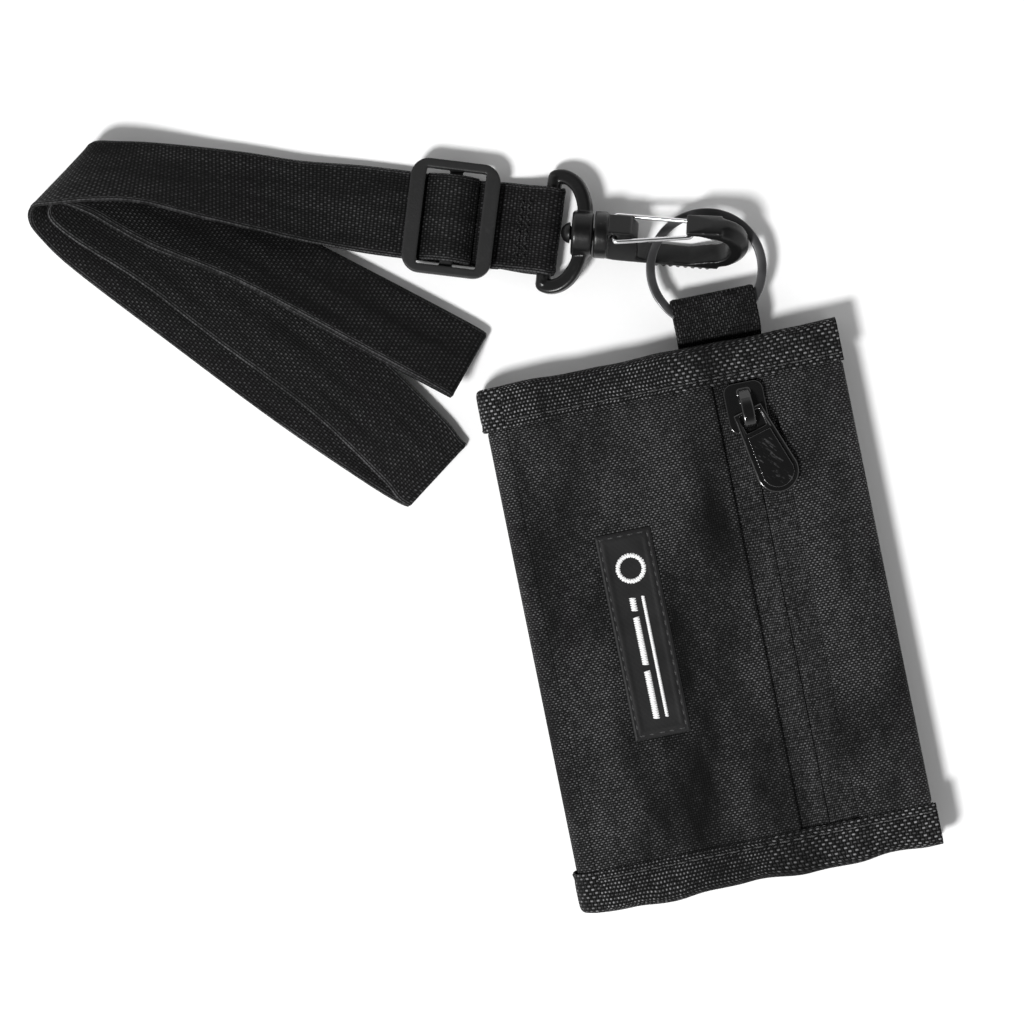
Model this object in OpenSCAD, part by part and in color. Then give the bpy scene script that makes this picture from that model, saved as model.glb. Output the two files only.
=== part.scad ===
// Bifold zippered pouch with a sewn tab, split ring, swivel snap hook and a folded webbing lanyard.
// The origin is the centre of the closed pouch's back face, on the table.
// +X runs to the opening edge, +Y to the sewn tab, +Z up through the front face.

/* [Pouch] */
// Width of the closed pouch, from the spine to the opening edge
pouch_w = 83; // [80:0.5:86]
// Length of the pouch, along the spine
pouch_l = 123; // [120:0.5:128]
// Visible width of the binding tape on each short end
bind_w = 9.7; // [8:0.1:12]
// Thickness of the binding tape
bind_t = 0.7; // [0.5:0.1:0.7]
// Height of the bound back leaf
back_top = 4.5; // [4.5:0.1:4.6]
// Height of the closed pouch
front_top = 10; // [10:0.1:10.4]

/* [Zip] */
// Distance from the pouch's middle to the zip's centre line
zip_x = 17.6; // [15:0.1:19]
// Width of the opening cut in the front panel
zip_slot_w = 13.2; // [12:0.1:14]
// Middle of the slider when the zip is closed
slider_y = 45.5; // [43:0.1:45.5]
// Length of the pull tab
pull_l = 20; // [16:0.5:24]
// Sideways lean of the hanging pull tab, in degrees
pull_lean = 15; // [0:1:15]

/* [Label] */
// Width of the sewn label
label_w = 13; // [10:0.5:15]
// Length of the sewn label
label_l = 47.6; // [40:0.2:52]

/* [Ring and tab] */
// Outer diameter of the split ring
ring_d = 27.8; // [27.4:0.1:28]
// Width of the ring's flat wire, seen from above
ring_band = 2.1; // [1.8:0.1:2.2]

/* [Hook] */
// Roll of the hook about its own length as it lies on the table, in degrees
hook_roll = 56; // [56:1:60]
// Radius of the hook's rounded head
head_r = 7; // [6.8:0.1:7]

/* [Lanyard] */
// Width of the webbing threaded through the adjuster
webbing_w = 20; // [18:0.5:20]
// Thickness of the webbing
webbing_t = 0.9; // [0.7:0.1:0.9]
// Length of the adjuster frame along the webbing
glide_l = 20.8; // [19.6:0.1:21]
// Width of the adjuster frame across the webbing
glide_w = 26.4; // [25:0.1:26.6]

/* [Hidden] */
$fn = 48;

half_w = pouch_w / 2;
half_l = pouch_l / 2;
field_l = half_l - bind_w;          // half length of the fabric between the two bindings
inner_l = half_l - bind_t;          // half length of what the bindings enclose
inner_w = half_w - bind_t;
leaf_gap = 0.3;                     // clearance between the closed leaves
front_bottom = back_top + leaf_gap;
wall_t = 0.8;                       // spine and hem wall
layer_overlap = 0.1;                // depth by which stacked slabs of one panel merge
seam_fit = 0.1;

// Heights of the layers of the back leaf
back_panel_top = 1.5;
stiffener_top = 2.1;
back_lining_top = 2.5;
rear_pocket_top = 3;
front_pocket_top = 3.5;
loop_top = back_top - 0.1;

// Heights of the layers of the front leaf
front_lining_bottom = front_bottom + bind_t;
front_lining_top = front_lining_bottom + 0.4;
coin_lining_top = front_lining_top + 0.3;
tape_bottom = 8.3;
tape_top = 8.9;
panel_low = 8.9;                    // underside of the front panel
panel_skin = front_top - bind_t - layer_overlap;
front_skin_top = front_top - 0.1;

// Card pockets and closure strips
pocket_x0 = -39;
pocket_x1 = 27.5;
strip_x0 = 29;
strip_x1 = 39;
strip_half_l = 40;

// Zip
tape_gap = 2;
tape_w = 8.6;
coil_r = 0.5;
slider_l = 11.6;
slider_w = 9.2;
slider_plate = 1;
slider_clear = 0.3;
slider_top = tape_top + slider_clear + slider_plate;
slider_low = tape_bottom - 2 * coil_r - slider_clear;
post_w = 1.2;
bridge_w = 2.4;
bridge_top = slider_top + 2.1;
bridge_t = 0.65;
pull_y = slider_y - 1.1;
pull_t = 1.1;
pull_z = slider_top + 0.75;

// Label
label_x = -15.9;
label_y = -0.5;
label_t = 0.45;

// Sewn tab: the two layers of webbing that hold the ring
tab_x = 15.3;
tab_w = 19.4;
tab_layer = 0.9;
ring_x = 15.4;
ring_y = 78.7;
ring_z = 5.5;
ring_t = 1.5;
ring_r = ring_d / 2;

// Swivel axis of the hook: the hook's own frame has x along its length, y from spine to gate
hook_pos = [-11.05, 92.2, 6.05];
hook_yaw = -15.5;
hook_pitch = 1.6;
hook_t = 5.8;
head_x = 31.3;
pivot_x = 7.2;
pivot_y = 2.6;
wire_r = 0.5;
rivet_r = 1.5;

// Straight stretch of the lanyard: its own frame has x along the webbing, away from the loop
bar_pos = [-18.3, 94.6, 3.2];
strap_yaw = -18.4;
bar_r = 1.7;
loop_half = 14;
loop_depth = 10.05;
bow_t = 2.8;
bow_r = 18.95;
glide_x = -22.75;
glide_low = 3.4;
glide_top = 6;
glide_bar = 3.5;
glide_side = 2.1;
glide_corner = 4.2;

// Route of the folded webbing: near edge x, y, z, then far edge x, y, z
STRAP = [
    [-31, 88.5, 0.9, -24.5, 107, 0.9],
    [-26, 86.5, 0.9, -20, 105.5, 0.9],
    [-23, 85.5, 0.8, -16.5, 104.5, 0.8],
    [-20.5, 84.5, 1.2, -14, 103.5, 1.2],
    [-19.5, 84.5, 2.4, -13, 103.5, 2.4],
    [-19.5, 84.5, 4, -13, 103.5, 4],
    [-20.5, 84.5, 5.2, -14, 103.5, 5.2],
    [-23, 85.5, 5.5, -16.5, 104.5, 5.5],
    [-27, 87, 3.6, -21, 106, 3.6],
    [-31.5, 88.5, 2.3, -25, 107.5, 2.3],
    [-36.5, 90, 2.3, -30.5, 109, 2.3],
    [-50, 94.5, 2.3, -43.5, 113.5, 2.3],
    [-63, 99, 3.2, -57, 118, 2.4],
    [-75, 103.5, 6.6, -71.5, 122, 3.3],
    [-85.5, 108, 9.7, -82.5, 126, 3.6],
    [-96, 112.5, 12.7, -93.5, 129.5, 4.4],
    [-108, 118, 15.2, -104.5, 132.5, 6.4],
    [-118, 120.5, 15.4, -111.5, 134, 7.7],
    [-127.5, 122, 13, -116, 135, 7.4],
    [-133.5, 123, 8, -118, 134.5, 5],
    [-135.5, 120.5, 3.6, -119, 132, 2],
    [-134, 116.5, 1, -118, 128.5, 0.8],
    [-128, 108, 0.7, -112, 120, 0.7],
    [-110.5, 88, 0.7, -95, 100.5, 0.7],
    [-89.5, 64.5, 0.7, -74, 77.5, 0.7],
    [-72.5, 47, 0.7, -56.5, 59.5, 0.7],
    [-65, 40, 0.8, -49, 51, 0.8],
    [-63, 39, 1.4, -47, 50.5, 1.4],
    [-65, 41, 2.1, -48, 52, 2.1],
    [-68, 46.5, 2.2, -51.5, 58.5, 2.2],
    [-81, 65, 2.2, -65, 78, 2.1],
    [-100.5, 87, 2.2, -85, 100, 2],
    [-113.5, 102, 2.4, -98, 115, 2],
    [-125.5, 113.5, 2.8, -110, 126.5, 2.2],
    [-130.5, 119.5, 3.4, -114, 131.5, 2.5],
    [-130.5, 122.5, 5, -114.5, 133.5, 3.1],
    [-127.5, 123, 6.4, -112, 133, 3.6],
    [-120.5, 118.5, 7.2, -107.5, 130, 3.4],
    [-109.5, 109, 7.6, -97.5, 122, 2.2],
    [-90, 96, 8.2, -79.5, 108, 1.2],
    [-70.5, 79.5, 8, -59.5, 93, 1.1],
    [-51, 63.5, 7.8, -40, 77, 1.1],
    [-48.5, 61.5, 8.4, -37.5, 74.5, 1.8],
    [-51, 64, 9.3, -40, 77, 2.6],
    [-70, 80, 9.6, -59.5, 93, 2.5],
    [-90, 96.5, 9.8, -79, 108.5, 2.6],
    [-109, 109.5, 9.2, -97.5, 122, 3.7],
    [-120, 119, 8.8, -107.5, 130.5, 4.5],
    [-125, 122, 9, -111.5, 133, 4.7],
    [-126, 123, 10.7, -113.5, 134, 5.6],
    [-122, 122.5, 12.4, -110.5, 133.5, 6.2],
    [-108.5, 118.5, 12.9, -104, 132, 4.8],
    [-96, 113.5, 10.6, -93.5, 129, 3],
    [-85.5, 108.5, 7.8, -82.5, 125.5, 2.3],
    [-75, 104, 5.1, -71.5, 122, 2],
    [-63, 99, 1.8, -57, 118, 0.9],
    [-50, 94.5, 0.9, -43.5, 113.5, 0.9],
    [-36.5, 90, 0.9, -30.5, 109, 0.9],
    [-31.5, 88.5, 0.9, -25, 107.5, 0.9]];
STRAP_STEPS = 3;

// Box between two corners
module span(low, high) {
    translate(low)
        cube(high - low);
}

// Slab that is symmetric about the YZ and XZ planes
module slab(wide, long, z0, z1) {
    span([-wide, -long, z0], [wide, long, z1]);
}

// Rounded rectangle with true arcs at its corners
module rounded(size_x, size_y, r) {
    square([size_x - 2 * r, size_y], center = true);
    square([size_x, size_y - 2 * r], center = true);
    for (sx = [-1, 1], sy = [-1, 1])
        translate([sx * (size_x / 2 - r), sy * (size_y / 2 - r)])
            circle(r = r);
}

// Binding on one short end of one leaf: a sleeve, open towards the middle of the pouch
module binding(z0, z1) {
    difference() {
        span([-half_w, field_l, z0], [half_w, half_l, z1]);
        span([-inner_w, field_l - 1, z0 + bind_t], [inner_w, inner_l, z1 - bind_t]);
    }
}

// Spine or hem wall along one long edge, between the bindings
module edge_wall(side, z0, z1) {
    x0 = side < 0 ? -half_w : half_w - wall_t;
    span([x0, -field_l, z0], [x0 + wall_t, field_l, z1]);
}

module back_panel() {
    color("#1b1b1c") {
        slab(half_w, field_l, 0, bind_t + layer_overlap);
        slab(inner_w, inner_l, bind_t, back_panel_top);
        edge_wall(-1, 0, back_top);
        edge_wall(1, 0, front_pocket_top);
    }
}

module back_stiffener() {
    color("#8b8b88")
        slab(half_w - 2, half_l - 2, back_panel_top, stiffener_top);
}

module back_lining() {
    color("#262627")
        slab(inner_w - 0.2, inner_l - 0.2, stiffener_top, back_lining_top);
}

module card_pocket_rear() {
    color("#202021")
        span([pocket_x0, -inner_l + 1, back_lining_top], [pocket_x1, 26, rear_pocket_top]);
}

module card_pocket_front() {
    color("#1d1d1e")
        span([pocket_x0, -inner_l + 1, rear_pocket_top], [pocket_x1, 6, front_pocket_top]);
}

module loop_strip() {
    color("#101011")
        span([strip_x0, -strip_half_l, back_lining_top], [strip_x1, strip_half_l, loop_top]);
}

module back_top_binding() {
    color("#161617")
        difference() {
            binding(0, back_top);
            span([tab_x - tab_w / 2 - seam_fit, half_l - 2, 2.5],
                [tab_x + tab_w / 2 + seam_fit, half_l + 1, 3.9]);
        }
}

module back_bottom_binding() {
    color("#161617")
        mirror([0, 1, 0])
            binding(0, back_top);
}

// Side view of the folded tab, drawn with x = distance along Y
module tab_outline() {
    gap_low = ring_z - ring_t / 2 - 0.25;
    gap_top = ring_z + ring_t / 2 + 0.25;
    mid = (gap_low + gap_top) / 2;
    fold_y = 71.35;
    fold_r = mid - gap_low;
    difference() {
        union() {
            polygon([[57.5, 2.6], [62, 2.6], [63.6, gap_low - tab_layer], [fold_y, gap_low - tab_layer],
                [fold_y, gap_top + tab_layer], [64, gap_top + tab_layer], [61.8, 3.8], [57.5, 3.8]]);
            translate([fold_y, mid])
                circle(r = fold_r + tab_layer);
        }
        polygon([[63.1, gap_low + 0.2], [63.7, gap_low], [fold_y, gap_low], [fold_y, gap_top],
            [64.3, gap_top]]);
        translate([fold_y, mid])
            circle(r = fold_r);
    }
}

module tab_loop() {
    color("#19191a")
        translate([tab_x - tab_w / 2, 0, 0])
            rotate([90, 0, 90])
                linear_extrude(tab_w)
                    tab_outline();
}

module front_panel() {
    color("#1b1b1c") {
        difference() {
            union() {
                slab(half_w, field_l, panel_skin, front_skin_top);
                slab(inner_w, inner_l, panel_low, panel_skin + layer_overlap);
            }
            span([zip_x - zip_slot_w / 2, -field_l, panel_low - 1],
                [zip_x + zip_slot_w / 2, field_l, front_top + 1]);
        }
        edge_wall(-1, front_bottom, front_skin_top);
        edge_wall(1, front_lining_bottom, front_skin_top);
    }
}

module front_lining() {
    color("#262627")
        slab(inner_w - 0.2, inner_l - 0.2, front_lining_bottom, front_lining_top);
}

module slip_pocket() {
    color("#202021")
        span([pocket_x0, -field_l + 0.2, front_bottom + 0.2], [pocket_x1, 20, front_lining_bottom]);
}

module coin_pocket_lining() {
    color("#2a2a2b")
        slab(half_w - 4, inner_l - 1, front_lining_top, coin_lining_top);
}

module hook_strip() {
    color("#0e0e0f")
        span([strip_x0, -strip_half_l, front_bottom - 0.05],
            [strip_x1, strip_half_l, front_lining_bottom]);
}

// Half of the zip tape on one side of the centre line
module zip_tape(side) {
    x0 = zip_x + side * (tape_gap / 2 + tape_w / 2);
    color("#232324")
        span([x0 - tape_w / 2, -inner_l + 0.3, tape_bottom], [x0 + tape_w / 2, inner_l - 0.3, tape_top]);
}

module zip_coil(side) {
    color("#141415")
        translate([zip_x + side * (tape_gap / 2 + coil_r), inner_l - 0.5, tape_bottom - coil_r])
            rotate([90, 0, 0])
                cylinder(r = coil_r, h = 2 * inner_l - 1);
}

module zip_tape_left() {
    zip_tape(-1);
}

module zip_tape_right() {
    zip_tape(1);
}

module zip_coil_left() {
    zip_coil(-1);
}

module zip_coil_right() {
    zip_coil(1);
}

module label_patch() {
    color("#0c0c0d")
        translate([label_x, label_y, front_skin_top])
            linear_extrude(label_t)
                square([label_w, label_l], center = true);
}

module front_top_binding() {
    color("#161617")
        binding(front_bottom, front_top);
}

module front_bottom_binding() {
    color("#161617")
        mirror([0, 1, 0])
            binding(front_bottom, front_top);
}

// Slider: plates above and below the coils, the wedge between them, and the bridge for the pull
module slider_body() {
    leg = 1;
    color("#0a0a0b")
        translate([zip_x, slider_y, 0]) {
            translate([0, 0, slider_top - slider_plate])
                linear_extrude(slider_plate)
                    rounded(slider_w, slider_l, 2.2);
            translate([0, 0, slider_low - 0.5])
                linear_extrude(0.5)
                    rounded(slider_w - 1, slider_l - 1, 2);
            span([-post_w / 2, 1.5, slider_low - 0.2], [post_w / 2, 4.8, slider_top - 0.2]);
            for (y = [-4.1, 1.1])
                span([-bridge_w / 2, y, slider_top - 0.2], [bridge_w / 2, y + leg, bridge_top]);
            span([-bridge_w / 2, -4.1, bridge_top - bridge_t], [bridge_w / 2, 2.1, bridge_top]);
        }
}

// Flat teardrop pull with an eye round the slider's bridge
module pull_outline() {
    wide = 5;
    eye_half = 2.45;
    difference() {
        union() {
            translate([0, -pull_l + wide])
                circle(r = wide);
            polygon([[-3.5, -0.2], [3.5, -0.2], [wide, -pull_l + wide], [-wide, -pull_l + wide]]);
        }
        translate([-eye_half, -4.5])
            square([2 * eye_half, 5]);
        translate([0, -pull_l + wide])
            circle(r = 1.6);
    }
}

module pull_tab() {
    color("#0b0b0c")
        translate([zip_x, pull_y, pull_z])
            rotate([0, 0, pull_lean]) {
                translate([0, 0, -pull_t / 2])
                    linear_extrude(pull_t)
                        pull_outline();
                rotate([0, 90, 0])
                    cylinder(r = pull_t / 2, h = 7, center = true);
            }
}

// Split ring of flat wire: two coils with a fine seam between them
module split_ring() {
    seam = 0.15;
    color("#4a4a4c")
        translate([ring_x, ring_y, ring_z])
            rotate_extrude($fn = 96)
                difference() {
                    translate([ring_r - ring_band, -ring_t / 2])
                        square([ring_band, ring_t]);
                    translate([ring_r - seam, -seam / 2])
                        square([seam + 1, seam]);
                }
}

module in_hook_frame() {
    translate(hook_pos)
        rotate([0, -hook_pitch, hook_yaw])
            children();
}

module in_strap_frame() {
    translate([bar_pos[0], bar_pos[1], 0])
        rotate([0, 0, strap_yaw])
            children();
}

// Cylinder along X from x0 to x1
module rod_x(r, x0, x1) {
    translate([x0, 0, 0])
        rotate([0, 90, 0])
            cylinder(r = r, h = x1 - x0);
}

// Outline of a D: straight sides from the bar, then an arc to the apex at x = depth
module d_outline(half, depth, r) {
    intersection() {
        translate([-0.6, -half])
            square([depth + 1, 2 * half]);
        translate([depth - r, 0])
            circle(r = r);
    }
}

// D-shaped loop: a straight bar for the webbing, a flat bow, and the collar that the hook turns in
module d_loop() {
    bow_w = 2 * bar_r;
    rise = atan2(hook_pos[2] + 0.1 - bar_pos[2], loop_depth - bar_r);
    color("#1f1f20")
        difference() {
            union() {
                translate([0, 0, bar_pos[2]])
                    in_strap_frame()
                        rotate([0, -rise, 0]) {
                            rotate([90, 0, 0])
                                cylinder(r = bar_r, h = 2 * loop_half - 1.4, center = true);
                            linear_extrude(bow_t, center = true)
                                difference() {
                                    d_outline(loop_half, loop_depth, bow_r);
                                    translate([-1, 0])
                                        d_outline(loop_half - bow_w, loop_depth - bow_w + 1, bow_r - bow_w);
                                }
                        }
                in_hook_frame()
                    rod_x(5.2, -2.45, 2.45);
            }
            in_hook_frame()
                rod_x(rivet_r + 0.3, -6, 3);
        }
}

// Stem and domed head that hold the hook in the loop's collar
module swivel_rivet() {
    color("#232324")
        in_hook_frame() {
            rod_x(rivet_r, -3, 5);
            intersection() {
                translate([-2.4, 0, 0])
                    sphere(r = 2.5);
                rod_x(3, -6, -2.75);
            }
        }
}

// Side view of the hook: spine, body block, head and beak round the open mouth
module hook_outline() {
    difference() {
        union() {
            translate([head_x, 0])
                circle(r = head_r);
            polygon([[5, -4.9], [14, -6.8], [head_x, -head_r + 0.1], [head_x, 0], [12.9, 0], [12.9, 2],
                [11, 4.3], [5, 4.3]]);
            polygon([[23.6, 4.8], [23.6, 5.9], [27.5, 6.5], [head_x, head_r - 0.2], [head_x, 3]]);
        }
        translate([30.2, 0.1])
            circle(r = 3.8);
        polygon([[12.9, -3.9], [14.5, -4.5], [25, -4.9], [30.5, -3.6], [30.5, 3.7], [27, 4.7], [20, 4.8],
            [12.9, 1.9]]);
    }
}

// Bevel that is cut off the rim of the head on both faces
module head_bevel() {
    bevel = 1.8;
    for (side = [-1, 1])
        translate([head_x, 0, 0])
            intersection() {
                scale([1, 1, side])
                    rotate_extrude($fn = 96)
                        polygon([[head_r - bevel, hook_t / 2 + 0.01], [head_r + 1, hook_t / 2 + 0.01],
                            [head_r + 1, hook_t / 2 - bevel - 1]]);
                translate([0.5, -10, -5])
                    cube([10, 20, 10]);
            }
}

module hook_body() {
    color("#1a1a1b")
        in_hook_frame()
            difference() {
                union() {
                    rod_x(5.4, 2.75, 5.8);
                    intersection() {
                        rotate([hook_roll, 0, 0])
                            difference() {
                                linear_extrude(hook_t, center = true)
                                    hook_outline();
                                head_bevel();
                            }
                        translate([2, 0, 0])
                            rotate([0, 90, 0])
                                cylinder(r1 = 5.95, r2 = 7.04, h = 38);
                    }
                }
                rod_x(rivet_r, 2, 5.02);
                rotate([hook_roll, 0, 0])
                    translate([pivot_x, pivot_y, 0])
                        cylinder(r = wire_r + 0.3, h = hook_t + 2, center = true);
            }
}

// Straight piece of wire between two points, with a ball that blends it into the next piece
module wire(a, b) {
    v = b - a;
    flat = norm([v[0], v[1]]);
    translate(a)
        rotate([0, atan2(flat, v[2]), atan2(v[1], v[0])])
            cylinder(r = wire_r, h = norm(v));
    for (end = [a, b])
        translate(end)
            sphere(r = wire_r + 0.03);
}

module gate_wire() {
    tip = [25, 4];
    leg_w = 4.1;
    tip_w = 2.3;
    color("#d8d8da")
        in_hook_frame()
            rotate([hook_roll, 0, 0]) {
                for (side = [-1, 1]) {
                    wire([pivot_x, pivot_y, side * 1.6], [pivot_x, pivot_y, side * leg_w]);
                    wire([pivot_x, pivot_y, side * leg_w], [tip[0], tip[1], side * tip_w]);
                }
                wire([tip[0], tip[1], -tip_w], [tip[0], tip[1], tip_w]);
            }
}

// Smooth curve through the stations: row_at(u) is the row at parameter u
function station(i) = STRAP[max(0, min(len(STRAP) - 1, i))];
function blend4(a, b, c, d, t) =
    0.5 * (2 * b + (c - a) * t + (2 * a - 5 * b + 4 * c - d) * t * t + (3 * b - a - 3 * c + d) * t * t * t);
function row_at(u) = let (i = min(len(STRAP) - 2, floor(u)), t = u - i)
    blend4(station(i - 1), station(i), station(i + 1), station(i + 2), t);
function near_edge(r) = [r[0], r[1], r[2]];
function far_edge(r) = [r[3], r[4], r[5]];
function mid_point(r) = (near_edge(r) + far_edge(r)) / 2;
function unit(v) = v / norm(v);

// Closed ribbon: four corners at each station, stepped off both faces along the surface normal
module ribbon(thick) {
    last = (len(STRAP) - 1) * STRAP_STEPS;
    rows = [for (k = [0:last]) row_at(k / STRAP_STEPS)];
    normals = [for (k = [0:last])
        unit(cross(mid_point(rows[min(last, k + 1)]) - mid_point(rows[max(0, k - 1)]),
            far_edge(rows[k]) - near_edge(rows[k])))];
    points = [for (k = [0:last]) for (edge = [0:3])
        let (p = edge == 0 || edge == 3 ? near_edge(rows[k]) : far_edge(rows[k]))
        p + normals[k] * thick / 2 * (edge < 2 ? 1 : -1)];
    sides = [for (k = [0:last - 1]) for (edge = [0:3])
        let (a = 4 * k + edge, b = 4 * k + (edge + 1) % 4)
        [a, a + 4, b + 4, b]];
    tris = [for (f = sides) for (half = [0, 1])
        half == 0 ? [f[0], f[1], f[2]] : [f[0], f[2], f[3]]];
    polyhedron(points, concat(tris, [[0, 1, 2], [0, 2, 3]],
        [[4 * last + 2, 4 * last + 1, 4 * last], [4 * last + 3, 4 * last + 2, 4 * last]]));
}

module strap_webbing() {
    color("#1c1c1d")
        ribbon(webbing_t);
}

// Sewn block that joins the webbing's two ends, between the two layers beside the loop
module strap_bartack() {
    color("#2c2c2d")
        in_strap_frame()
            span([-14.5, -8, 1.42], [-6.2, 8, 1.72]);
}

module triglide() {
    window_l = glide_l - 2 * glide_bar;
    window_w = glide_w - 2 * glide_side;
    color("#2b2b2c")
        in_strap_frame()
            translate([glide_x, 0, 0]) {
                translate([0, 0, glide_low])
                    linear_extrude(glide_top - glide_low)
                        difference() {
                            rounded(glide_l, glide_w, glide_corner);
                            square([window_l, window_w], center = true);
                        }
                span([-1.5, -window_w / 2 - 0.5, glide_low + 0.3],
                    [1.5, window_w / 2 + 0.5, glide_top - 1]);
            }
}

// Webbing that rises through one slot, crosses the centre bar and drops through the other
module adjuster_web() {
    upper = [[-6.4, 3.9], [-5, 4.9], [-3, 6.2], [-0.8, 6.8], [1.2, 6.6], [3, 5.6], [4.6, 4.2], [5.4, 3.6]];
    lower = [[5, 3.1], [3.8, 3.4], [2.4, 4.6], [1.5, 5.4], [-1.5, 5.5], [-3, 5.1], [-4.6, 4], [-5.8, 3.1]];
    color("#1c1c1d")
        in_strap_frame()
            translate([glide_x, webbing_w / 2, 0])
                rotate([90, 0, 0])
                    linear_extrude(webbing_w)
                        polygon(concat(upper, lower));
}

back_panel();
back_stiffener();
back_lining();
card_pocket_rear();
card_pocket_front();
loop_strip();
back_top_binding();
back_bottom_binding();
tab_loop();
front_panel();
front_lining();
slip_pocket();
coin_pocket_lining();
hook_strip();
zip_tape_left();
zip_tape_right();
zip_coil_left();
zip_coil_right();
label_patch();
front_top_binding();
front_bottom_binding();
slider_body();
pull_tab();
split_ring();
d_loop();
swivel_rivet();
hook_body();
gate_wire();
strap_webbing();
strap_bartack();
triglide();
adjuster_web();
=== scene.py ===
"""Bifold zippered pouch with a sewn tab, split ring, swivel snap hook and folded webbing lanyard.

Lengths are in millimetres in the tables and functions below, and the meshes are made in metres by MM.
"""

import math

import bpy
import bmesh
import numpy as np
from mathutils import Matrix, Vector, noise


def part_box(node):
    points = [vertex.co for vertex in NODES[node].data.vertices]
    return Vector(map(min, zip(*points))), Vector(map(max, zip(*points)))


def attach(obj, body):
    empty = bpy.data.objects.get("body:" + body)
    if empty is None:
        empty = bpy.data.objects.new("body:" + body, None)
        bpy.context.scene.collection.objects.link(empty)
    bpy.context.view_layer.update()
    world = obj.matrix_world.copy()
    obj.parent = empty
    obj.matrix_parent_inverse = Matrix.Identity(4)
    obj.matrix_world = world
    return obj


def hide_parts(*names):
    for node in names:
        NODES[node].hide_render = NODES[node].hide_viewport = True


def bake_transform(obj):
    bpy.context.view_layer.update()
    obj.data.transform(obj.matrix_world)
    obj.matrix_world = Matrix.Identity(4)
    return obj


MM = 0.001
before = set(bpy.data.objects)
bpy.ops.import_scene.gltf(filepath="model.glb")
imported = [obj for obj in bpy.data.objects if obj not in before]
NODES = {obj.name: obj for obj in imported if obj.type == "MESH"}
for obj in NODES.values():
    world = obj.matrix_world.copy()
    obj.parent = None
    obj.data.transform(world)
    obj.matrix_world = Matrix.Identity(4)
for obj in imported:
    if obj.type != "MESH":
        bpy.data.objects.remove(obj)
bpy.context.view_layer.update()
scene = bpy.context.scene


# ---------- numbers shared by the pieces

def box_mm(node):
    """Lowest and highest corner of a CAD node, in millimetres."""
    low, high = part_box(node)
    return np.array(low) / MM, np.array(high) / MM


FRONT_HIGH = box_mm("front_panel")[1]
TOP_BAND_LOW, TOP_BAND_HIGH = box_mm("front_top_binding")
LABEL_LOW, LABEL_HIGH = box_mm("label_patch")
RING_LOW, RING_HIGH = box_mm("split_ring")
TAB_LOW, TAB_HIGH = box_mm("tab_loop")

HALF_W = FRONT_HIGH[0]
HALF_L = TOP_BAND_HIGH[1]
BAND_Y = TOP_BAND_LOW[1]                       # inner edge of the binding tape
BAND_TOP = TOP_BAND_HIGH[2]
SKIN_Z = FRONT_HIGH[2]
ZIP_X = (box_mm("zip_tape_left")[1][0] + box_mm("zip_tape_right")[0][0]) / 2
SEAM_LEFT = ZIP_X - 6.7                        # folded edges of the shell beside the zip
SEAM_RIGHT = ZIP_X + 6.7
FOLD_X = -37.0                                 # where the spine strip meets the leaves
HINGE_X = -0.0415                              # axis of the cover's fold, in metres


# ---------- mesh helpers

def make_object(name, verts_mm, faces, weave=None, smooth=True):
    """Mesh object from points; weave holds each point's (along, across) place on the cloth."""
    mesh = bpy.data.meshes.new(name)
    mesh.from_pydata((np.asarray(verts_mm, float) * MM).tolist(), [], [list(f) for f in faces])
    mesh.validate()
    mesh.update()
    if weave is not None:
        flat = np.zeros((len(verts_mm), 3), np.float32)
        flat[:, :2] = np.asarray(weave, np.float32).reshape(-1, 2) * MM
        attribute = mesh.attributes.new("weave", "FLOAT_VECTOR", "POINT")
        attribute.data.foreach_set("vector", flat.ravel())
    if smooth:
        mesh.shade_smooth()
    obj = bpy.data.objects.new(name, mesh)
    scene.collection.objects.link(obj)
    return obj


def points(x, y, z):
    """Points from three coordinates, any of which may be a single number."""
    return np.stack(np.broadcast_arrays(x, y, z), -1)


def unit(vectors):
    """Vectors along the last axis, scaled to a length of 1."""
    return vectors / np.linalg.norm(vectors, axis=-1, keepdims=True)


def travelled(points):
    """Distance along a polyline at each of its points."""
    return np.concatenate([[0], np.cumsum(np.linalg.norm(np.diff(points, axis=0), axis=1))])


def at_distances(distances, along, path):
    """Points of a path at the distances asked for, where along is the distance of each of its points."""
    return np.stack([np.interp(distances, along, column) for column in path.T], 1)


def grid_faces(rows, columns, first=0, flip=False, close_rows=False, close_columns=False):
    """Quads of a grid whose points are numbered row by row from first."""
    r = np.arange(rows if close_rows else rows - 1)
    c = np.arange(columns if close_columns else columns - 1)
    i, j = np.meshgrid(r, c, indexing="ij")
    i2 = (i + 1) % rows
    j2 = (j + 1) % columns
    quad = np.stack([i * columns + j, i2 * columns + j, i2 * columns + j2, i * columns + j2], -1)
    quad = quad.reshape(-1, 4) + first
    return quad[:, ::-1] if flip else quad


def grid_normals(grid):
    """Unit normals of a grid of points, rows along the first axis."""
    normal = np.cross(np.gradient(grid, axis=0), np.gradient(grid, axis=1))
    return normal / np.maximum(np.linalg.norm(normal, axis=2, keepdims=True), 1e-9)


def arc_lengths(grid):
    """Distance along the rows and along the columns of a grid, averaged over the other direction."""
    down = np.linalg.norm(np.diff(grid, axis=0), axis=2).mean(1)
    over = np.linalg.norm(np.diff(grid, axis=1), axis=2).mean(0)
    rows = np.concatenate([[0], np.cumsum(down)])
    columns = np.concatenate([[0], np.cumsum(over)])
    return np.stack(np.meshgrid(rows, columns, indexing="ij"), -1)


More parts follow.
